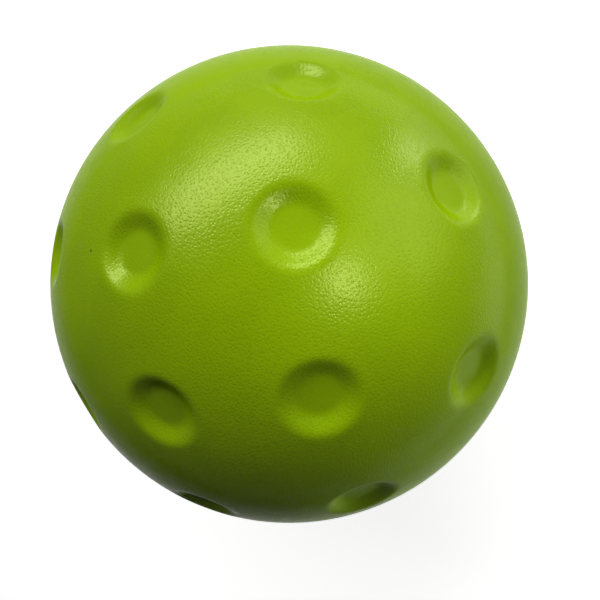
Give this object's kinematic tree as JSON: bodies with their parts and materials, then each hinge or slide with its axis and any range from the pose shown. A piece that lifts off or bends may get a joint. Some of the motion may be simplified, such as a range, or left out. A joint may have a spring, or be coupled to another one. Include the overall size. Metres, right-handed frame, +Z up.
{
  "type": "foam pickleball",
  "caption": "Soft foam ball for quiet paddle play, with a satin lime-green skin and shallow round blind dimples in even rings over both halves.",
  "frame": {"origin": "centre of the ball", "axes": "+Z up, out of the pole of the upper half, so the parting plane of the two moulded halves is XY; +X runs through a dimple of the upper half's outer ring"},
  "size_m": [0.074, 0.074, 0.074],
  "materials": {
    "core_foam": "matt fine-celled foam",
    "skin_foam": "satin moulded skin with a fine pitted grain"
  },
  "bodies": {
    "root": {"foam_core": "core_foam", "skin": "skin_foam"}
  },
  "joints": []
}
